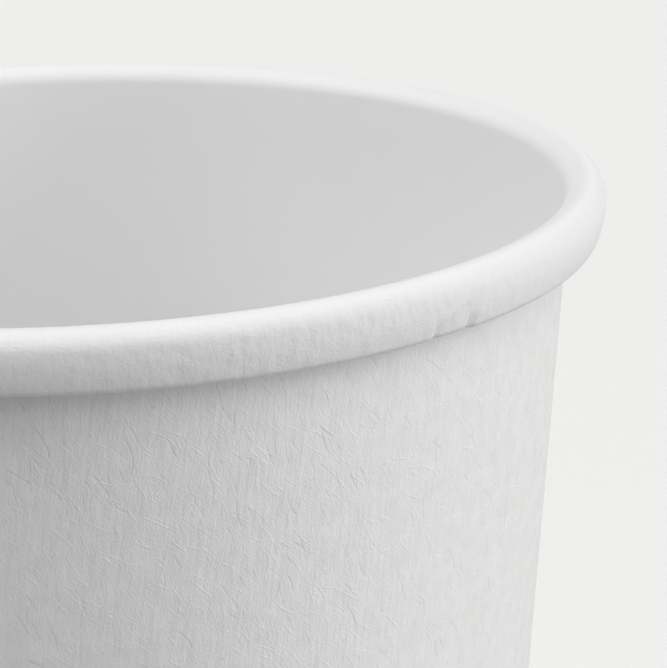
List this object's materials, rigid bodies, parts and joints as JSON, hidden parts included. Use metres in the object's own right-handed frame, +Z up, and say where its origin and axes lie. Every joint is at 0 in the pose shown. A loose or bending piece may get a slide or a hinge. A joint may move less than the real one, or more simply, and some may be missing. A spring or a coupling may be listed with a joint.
{
  "type": "paper soup container",
  "caption": "Round tapered paper food container with a rolled rim, a lapped side seam and a recessed base held in a folded foot; holds hot soup and takes a press-on lid.",
  "frame": {"origin": "on the surface the container stands on, under the centre of its foot", "axes": "+Z up along the container's axis, out of its mouth; the side seam is at 135 degrees from +X towards +Y"},
  "size_m": [0.098, 0.098, 0.099],
  "materials": {
    "wall_board": "white coated paperboard, matt and fibrous outside, smooth satin inside",
    "base_board": "white coated paperboard, matt underneath, smooth satin on top"
  },
  "bodies": {
    "root": {"side_wall": "wall_board", "base_disc": "base_board"}
  },
  "joints": []
}
